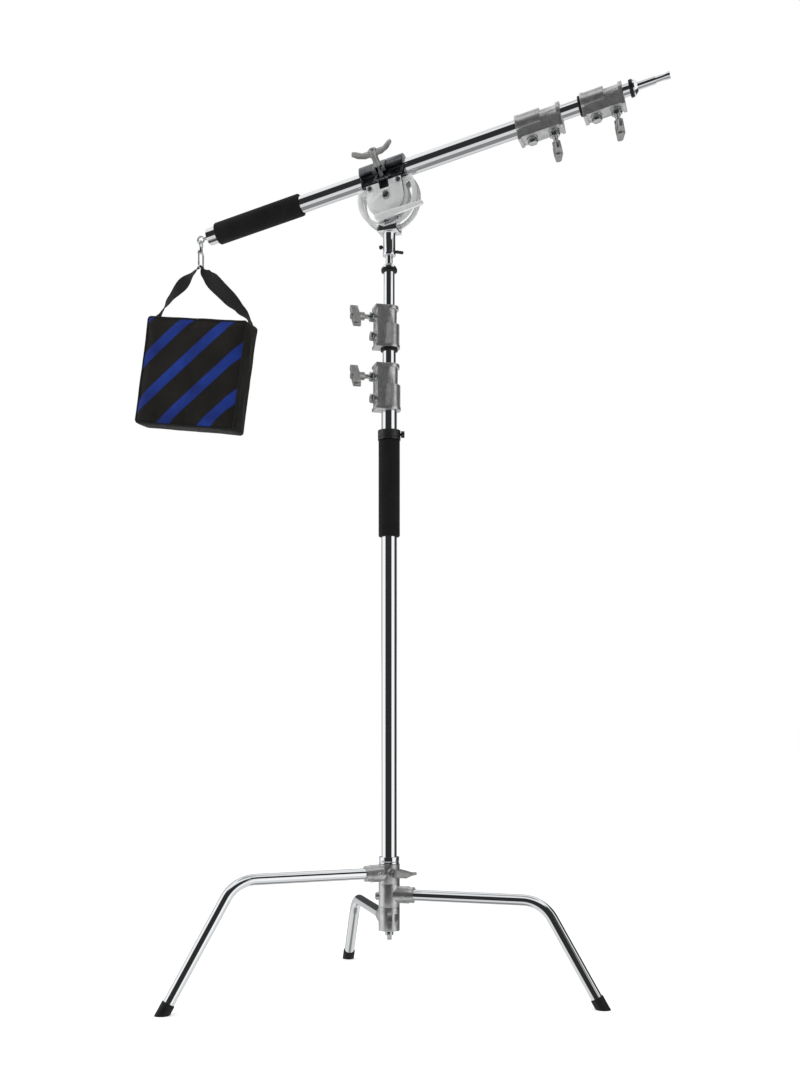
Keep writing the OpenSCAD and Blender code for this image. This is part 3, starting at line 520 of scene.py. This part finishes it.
# the leg castings' sockets: radius, how deep a screw sits in the wall, and the slotted screw's place
socket = {"radius": 18.0, "sunk": 0.3, "topAlong": 31, "middleAlong": 38, "middleDown": 4,
          "bossOut": 29.8, "bossDown": 4}


def placeOn(point, outward):
    # a matrix whose Z points outward at the point
    place = outward.to_track_quat("Z", "Y").to_matrix().to_4x4()
    place.translation = point
    return place


def cutWith(piece, cutter):
    cut = piece.modifiers.new("cut", "BOOLEAN")
    cut.operation = "DIFFERENCE"
    cut.object = cutter
    finishModifiers(piece)
    bpy.data.objects.remove(cutter)


def makeSocketScrew(name):
    bpy.ops.mesh.primitive_cylinder_add(vertices=screw["sides"], radius=screw["head"] * mm,
                                        depth=2 * screw["proud"] * mm)
    piece = namePiece(name)
    bpy.ops.mesh.primitive_cylinder_add(vertices=6, radius=screw["socket"] * mm, depth=2 * screw["deep"] * mm,
                                        location=(0, 0, screw["proud"] * mm))
    cutWith(piece, bpy.context.object)
    roundEdges(piece, screw["edge"] * mm)
    smoothShade(piece)
    return piece


def makeSlotScrew(name):
    bpy.ops.mesh.primitive_cylinder_add(vertices=screw["sides"], radius=slotScrew["head"] * mm,
                                        depth=2 * slotScrew["proud"] * mm)
    piece = namePiece(name)
    bpy.ops.mesh.primitive_cube_add(size=1, location=(0, 0, slotScrew["proud"] * mm))
    bpy.context.object.data.transform(Matrix.Diagonal(
        (3 * slotScrew["head"] * mm, slotScrew["slotWide"] * mm, 2 * slotScrew["deep"] * mm, 1)))
    cutWith(piece, bpy.context.object)
    roundEdges(piece, screw["edge"] * mm)
    smoothShade(piece)
    return piece


def makeThread(name, root, depth, pitch, length):
    # a screw thread round Z, starting at the origin, closed by a flat face at each end
    around, rows = thread["around"], math.ceil(length / pitch * thread["perPitch"])
    shape = bmesh.new()
    rings = []
    for row in range(rows + 1):
        z = length * row / rows
        ring = []
        for step in range(around):
            turn = step / around
            phase = (z / pitch - turn) % 1.0
            radius = root + depth * (1 - abs(2 * phase - 1))
            ring.append(shape.verts.new((radius * mm * math.cos(turn * 2 * math.pi),
                                         radius * mm * math.sin(turn * 2 * math.pi), z * mm)))
        rings.append(ring)
    for low, high in zip(rings, rings[1:]):
        for step in range(around):
            after = (step + 1) % around
            shape.faces.new((low[step], low[after], high[after], high[step]))
    shape.faces.new(rings[0][::-1])
    shape.faces.new(rings[-1])
    data = bpy.data.meshes.new(name)
    shape.to_mesh(data)
    shape.free()
    piece = bpy.data.objects.new(name, data)
    bpy.context.scene.collection.objects.link(piece)
    smoothShade(piece, 60)
    return piece


def legDirection(foot):
    spot = Vector(mount[foot]["pos_m"])
    return Vector((spot.x, spot.y, 0)).normalized()


for name, foot, fold, body, along, drop in (
        ("topSocketScrew", "top_foot_sole", "top_leg_fold", "top_leg", socket["topAlong"], 0),
        ("middleSocketScrew", "middle_foot_sole", "middle_leg_fold", "middle_leg",
         socket["middleAlong"], socket["middleDown"])):
    leg = legDirection(foot)
    facing = Vector((leg.y, -leg.x, 0)) if leg.x > 0 else Vector((-leg.y, leg.x, 0))
    reach = math.sqrt(socket["radius"] ** 2 - drop ** 2) - socket["sunk"]
    spot = Vector(joint[fold]["pos_m"]) + (leg * along + facing * reach + Vector((0, 0, -drop))) * mm
    piece = makeSocketScrew(name)
    settle(piece, placeOn(spot, facing + Vector((0, 0, -drop / socket["radius"]))))
    give(piece, zincSteel, body, "bright_steel")
piece = makeSlotScrew("bossScrew")
spot = Vector(joint["middle_leg_fold"]["pos_m"]) + Vector((-socket["bossOut"], 0, -socket["bossDown"])) * mm
settle(piece, placeOn(spot, Vector((-1, 0, 0))))
give(piece, gunMetal, "middle_leg", "dark_cast")

for name, turn, body in (("lowerKnobThread", "lower_knob_turn", "lower_knob"),
                         ("upperKnobThread", "upper_knob_turn", "upper_knob"),
                         ("boomKnobThread", "boom_knob_turn", "boom_knob"),
                         ("boomTipKnobThread", "boom_tip_knob_turn", "boom_tip_knob")):
    piece = makeThread(name, thread["root"], thread["depth"], thread["pitch"], thread["length"])
    outward = Vector(joint[turn]["axis"])
    settle(piece, placeOn(Vector(joint[turn]["pos_m"]) - outward * thread["back"] * mm, outward))
    give(piece, zincSteel, body, "bright_steel")
piece = makeThread("swingBoltThread", boltEnd["root"], boltEnd["depth"], boltEnd["pitch"], boltEnd["length"])
outward = Vector(joint["wing_nut_turn"]["axis"])
settle(piece, placeOn(Vector(joint["wing_nut_turn"]["pos_m"]) + outward * boltEnd["out"] * mm, outward))
give(piece, zincSteel, "swing_bolt", "bright_steel")

washerTop = max(v.co.z for v in frame["nodes"]["pin_washer"].data.vertices)
bpy.ops.mesh.primitive_cone_add(vertices=64, radius1=cap["foot"] * mm, radius2=cap["top"] * mm,
                                depth=cap["height"] * mm)
piece = namePiece("pinCap")
roundEdges(piece, cap["edge"] * mm, 3)
smoothShade(piece, 40)
settle(piece, Matrix.Translation((0, 0, washerTop + (cap["height"] / 2 + cap["clear"]) * mm)))
give(piece, chrome, "top_riser", "chrome")
print("screws and threads made")


bag = {"width": 272, "height": 262, "thick": 70, "drop": 122, "offset": 24, "voxel": 5.0, "pressure": 4,
       "cap": 5.5, "frames": 20, "tapePitch": 76, "tapeWidth": 25, "tapeOffset": 40, "tapeRise": 0.7,
       "fill": 0.85, "corner": 7, "edgeShare": 0.4, "slack": 1}
# how far each wrinkle moves the cloth, and how many there are along a metre across and up
wrinkle = {"crease": (2.0, 16, 9), "fold": (0.8, 40, 22), "edge": 1.6, "belly": 2.2, "bellyDrop": 3.0}
piping = {"wire": 2.6, "turn": 12, "steps": 26, "out": 0.6, "arc": 6}


def tapeShare(x, z):
    # 1 on a blue tape, 0 on the black cloth, with an edge of about 1 mm
    across = ((z - x - bag["tapeOffset"]) / math.sqrt(2)) % bag["tapePitch"]
    across = min(across, bag["tapePitch"] - across)
    return max(0.0, min(1.0, bag["tapeWidth"] / 2 - across + 0.5))


def swellPouch(piece):
    # the filling pushes the cloth out, and each point moves no further than the cap
    start = [v.co.copy() for v in piece.data.vertices]
    cloth = piece.modifiers.new("cloth", "CLOTH")
    cloth.settings.use_pressure = True
    cloth.settings.uniform_pressure_force = bag["pressure"]
    cloth.settings.effector_weights.gravity = 0
    cloth.point_cache.frame_end = bag["frames"]
    scene = bpy.context.scene
    for step in range(1, bag["frames"] + 1):
        scene.frame_set(step)
    swollen = piece.evaluated_get(bpy.context.evaluated_depsgraph_get())
    for vertex, found, was in zip(piece.data.vertices, swollen.data.vertices, start):
        move = found.co - was
        if move.length > bag["cap"] * mm:
            move *= bag["cap"] * mm / move.length
        vertex.co = was + Vector((move.x * bag["edgeShare"], move.y, move.z * bag["edgeShare"]))
    piece.modifiers.clear()
    scene.frame_set(1)


def shapePouch(piece):
    # the sand has run to the bottom: the foot is fuller, the top flatter, and the cloth creases
    halfWide, halfTall = bag["width"] * mm / 2, bag["height"] * mm / 2
    for vertex in piece.data.vertices:
        x, y, z = vertex.co
        u, w = x / halfWide, z / halfTall
        middle = max(0.0, 1 - u * u) * max(0.0, 1 - w * w)
        side = 1 if y > 0 else -1
        facing = min(1.0, abs(y) / (bag["thick"] * mm / 2))
        belly = middle * (wrinkle["belly"] - wrinkle["bellyDrop"] * w) * mm
        (creaseDeep, creaseX, creaseZ), (foldDeep, foldX, foldZ) = wrinkle["crease"], wrinkle["fold"]
        crease = noise.noise(Vector((x * creaseX, side * 3.1, z * creaseZ))) * creaseDeep * mm
        fold = noise.noise(Vector((x * foldX, side * 1.7, z * foldZ))) * foldDeep * mm
        vertex.co.y += (belly + crease + fold) * side * facing
        vertex.co.x += noise.noise(Vector((z * 14, y * 20, x * 3))) * wrinkle["edge"] * mm * abs(u)
        vertex.co.z += noise.noise(Vector((x * 12, y * 20, z * 3))) * wrinkle["edge"] * mm * abs(w)
    sub = piece.modifiers.new("fine", "SUBSURF")
    sub.levels = sub.render_levels = 1
    finishModifiers(piece)
    # brings the filled pouch back to its sewn size
    spans = []
    for axis, size in enumerate(("width", "thick", "height")):
        reach = [v.co[axis] for v in piece.data.vertices]
        spans.append((min(reach), max(reach), bag[size] * mm))
    for vertex in piece.data.vertices:
        vertex.co = [((c - low) / (high - low) - 0.5) * size
                     for c, (low, high, size) in zip(vertex.co, spans)]


def markPouch(piece):
    # raises the tapes, records where they are, and lays each panel's cloth flat for the weave
    panel = piece.data.uv_layers.new(name="panel")
    tape = piece.data.attributes.new("tape", "FLOAT", "POINT")
    normals = [v.normal.copy() for v in piece.data.vertices]
    for vertex, normal in zip(piece.data.vertices, normals):
        share = tapeShare(vertex.co.x / mm, vertex.co.z / mm) if abs(normal.y) > 0.6 else 0.0
        tape.data[vertex.index].value = share
        vertex.co += normal * share * bag["tapeRise"] * mm
    for loop in piece.data.loops:
        co = piece.data.vertices[loop.vertex_index].co
        normal = normals[loop.vertex_index]
        if abs(normal.x) > 0.7:
            panel.data[loop.index].uv = (co.y, co.z)
        elif abs(normal.z) > 0.7:
            panel.data[loop.index].uv = (co.x, co.y)
        else:
            panel.data[loop.index].uv = (co.x, co.z)


def makePouch():
    bpy.ops.mesh.primitive_cube_add(size=1)
    piece = namePiece("sandPouch")
    piece.data.transform(Matrix.Diagonal((bag["width"] * mm, bag["thick"] * mm, bag["height"] * mm, 1)))
    roundEdges(piece, bag["corner"] * mm, 4)
    remesh = piece.modifiers.new("remesh", "REMESH")
    remesh.mode = "VOXEL"
    remesh.voxel_size = bag["voxel"] * mm
    finishModifiers(piece)
    swellPouch(piece)
    shapePouch(piece)
    return piece


def roundedLoop(halfWide, halfTall, turn, steps, arc):
    # points round a rectangle with round corners, in X and Z, with arc points in each corner
    corners = []
    for quarter, (sx, sz) in enumerate(((1, 1), (1, -1), (-1, -1), (-1, 1))):
        for s in range(arc):
            angle = math.pi / 2 * (1 - quarter - s / (arc - 1))
            corners.append(Vector((sx * (halfWide - turn) + turn * math.cos(angle), 0,
                                   sz * (halfTall - turn) + turn * math.sin(angle))))
    points = []
    for i, here in enumerate(corners):
        ahead = corners[(i + 1) % len(corners)]
        parts = steps if i % arc == arc - 1 else 1
        points += [here.lerp(ahead, s / parts) for s in range(parts)]
    return points


def makePiping(name, pouch, side):
    # a corded edge that follows the pouch's own seam
    points = roundedLoop(bag["width"] * mm / 2, bag["height"] * mm / 2, piping["turn"] * mm,
                         piping["steps"], piping["arc"])
    data = bpy.data.curves.new(name, "CURVE")
    data.dimensions = "3D"
    data.bevel_depth = piping["wire"] * mm
    data.bevel_resolution = 2
    cord = data.splines.new("POLY")
    cord.points.add(len(points) - 1)
    cord.use_cyclic_u = True
    for corner, point in zip(cord.points, points):
        seam = Vector((point.x, side * bag["thick"] / 2 * mm, point.z))
        found, where, normal, index = pouch.closest_point_on_mesh(seam)
        corner.co = (*(where + normal * piping["out"] * mm), 1)
    piece = bpy.data.objects.new(name, data)
    bpy.context.scene.collection.objects.link(piece)
    makeActive(piece)
    bpy.ops.object.convert(target="MESH")
    piece = namePiece(name)
    bpy.ops.object.shade_smooth()
    return piece


bagDown = -(bag["drop"] + bag["height"] / 2 + bag["slack"])
pouchPlace = bagPlace @ Matrix.Translation((bag["offset"] * mm, 0, bagDown * mm))
pouch = makePouch()
for name, side in (("pipingFront", -1), ("pipingBack", 1)):
    edge = makePiping(name, pouch, side)
    settle(edge, pouchPlace)
    give(edge, binding, "bag", "bag_fabric")
markPouch(pouch)
settle(pouch, pouchPlace)
makeActive(pouch)
bpy.ops.object.shade_smooth()
give(pouch, bagCloth, "bag", "bag_fabric", "sandbag")
print("sandbag made")


def smoothPath(points, steps):
    # a Catmull-Rom curve through the points, with the same number of steps between each two
    path = []
    last = len(points) - 1
    for i in range(last):
        a, b = points[max(i - 1, 0)], points[i]
        c, d = points[i + 1], points[min(i + 2, last)]
        for s in range(steps):
            t = s / steps
            path.append(0.5 * ((2 * b) + (c - a) * t + (2 * a - 5 * b + 4 * c - d) * t ** 2
                               + (3 * b - a - 3 * c + d) * t ** 3))
    path.append(points[last])
    return path


# faces across a band, how much it curls, and its girth in widths
ribbon = {"across": 6, "curl": 0.12, "around": 2.1}


def makeRibbon(name, path, sides, widths, thick):
    # sides are the width's directions, one a point; the band has a front, a back and two edges
    count, across = len(path), ribbon["across"]
    shape = bmesh.new()
    panel = shape.loops.layers.uv.new("panel")
    rings = []
    travel = [0.0]
    for i in range(1, count):
        travel.append(travel[-1] + (path[i] - path[i - 1]).length)
    for i, point in enumerate(path):
        along = (path[min(i + 1, count - 1)] - path[max(i - 1, 0)]).normalized()
        side = (sides[i] - along * sides[i].dot(along)).normalized()
        out = along.cross(side)
        ring = []
        for face in (1, -1):
            for k in range(across + 1):
                share = (k / across - 0.5) * face
                curl = (1 - (2 * share) ** 2) * thick * ribbon["curl"]
                place = point + side * share * widths[i] + out * face * (thick / 2 + curl)
                ring.append(shape.verts.new(place))
        rings.append(ring)
    size = len(rings[0])
    for i, (first, second) in enumerate(zip(rings, rings[1:])):
        for k in range(size):
            n = (k + 1) % size
            face = shape.faces.new((first[k], first[n], second[n], second[k]))
            for corner, at, along in zip(face.loops, (k, k + 1, k + 1, k), (i, i, i + 1, i + 1)):
                distance = travel[along]
                corner[panel].uv = (distance, (at / size) * widths[i] * ribbon["around"])
    for ring in (rings[0], rings[-1]):
        shape.faces.new(ring)
    bmesh.ops.recalc_face_normals(shape, faces=shape.faces)
    data = bpy.data.meshes.new(name)
    shape.to_mesh(data)
    shape.free()
    piece = bpy.data.objects.new(name, data)
    bpy.context.scene.collection.objects.link(piece)
    smoothShade(piece, 50)
    return piece


strap = {"width": 38, "thick": 1.8, "left": -104, "right": 148, "steps": 10}


def strapLength():
    # points in the bag's frame, the way the width faces there, and how much of the width shows:
    # flat over the bag's top edge, twisted open half way, gathered over the hook
    drop = -bag["drop"]
    yAxis, flat = Vector((0, 1, 0)), Vector((0.55, -0.35, 0.75))
    flatLeft = Vector((-0.55, -0.35, 0.75))
    stops = [
        ((strap["left"] + 3, 12, drop - 16), yAxis, 0.6), ((strap["left"], 8, drop - 1), yAxis, 0.6),
        ((strap["left"] * 0.88, 4, drop * 0.86), yAxis * 0.75 + flatLeft * 0.35, 0.6),
        ((strap["left"] * 0.69, -2, drop * 0.64), yAxis * 0.45 + flatLeft * 0.6, 0.6),
        ((strap["left"] * 0.40, -3, drop * 0.34), yAxis * 0.2 + flatLeft, 0.76),
        ((strap["left"] * 0.15, -1, drop * 0.09), yAxis * 0.7 + flatLeft * 0.6, 0.5),
        ((-3.2, 0, 2.2), yAxis, 0.3), ((0, 0, 4.2), yAxis, 0.28), ((3.4, 0, 1.6), yAxis, 0.3),
        ((strap["right"] * 0.12, -2, drop * 0.12), yAxis * 0.5 + flat * 0.8, 0.66),
        ((strap["right"] * 0.28, -4, drop * 0.28), yAxis * 0.15 + flat, 1.0),
        ((strap["right"] * 0.54, -3, drop * 0.52), yAxis * 0.2 + flat, 0.92),
        ((strap["right"] * 0.79, 3, drop * 0.76), yAxis * 0.6 + flat * 0.5, 0.7),
        ((strap["right"] * 0.97, 8, drop * 0.97), yAxis, 0.6),
        ((strap["right"] - 1, 12, drop - 16), yAxis, 0.6),
    ]
    points = [bagPlace @ (Vector(p) * mm) for p, side, share in stops]
    path = smoothPath(points, strap["steps"])
    sides, widths = [], []
    for i in range(len(path)):
        at = i / strap["steps"]
        k = min(int(at), len(stops) - 2)
        t = (at - k) ** 2 * (3 - 2 * (at - k))
        side = stops[k][1].normalized().lerp(stops[k + 1][1].normalized(), t)
        sides.append((bagPlace.to_3x3() @ side).normalized())
        widths.append(strap["width"] * mm * (stops[k][2] * (1 - t) + stops[k + 1][2] * t))
    return makeRibbon("bagStrap", path, sides, widths, strap["thick"] * mm)


give(strapLength(), webbing, "bag", "webbing", "sandbag_strap")
print("strap made")
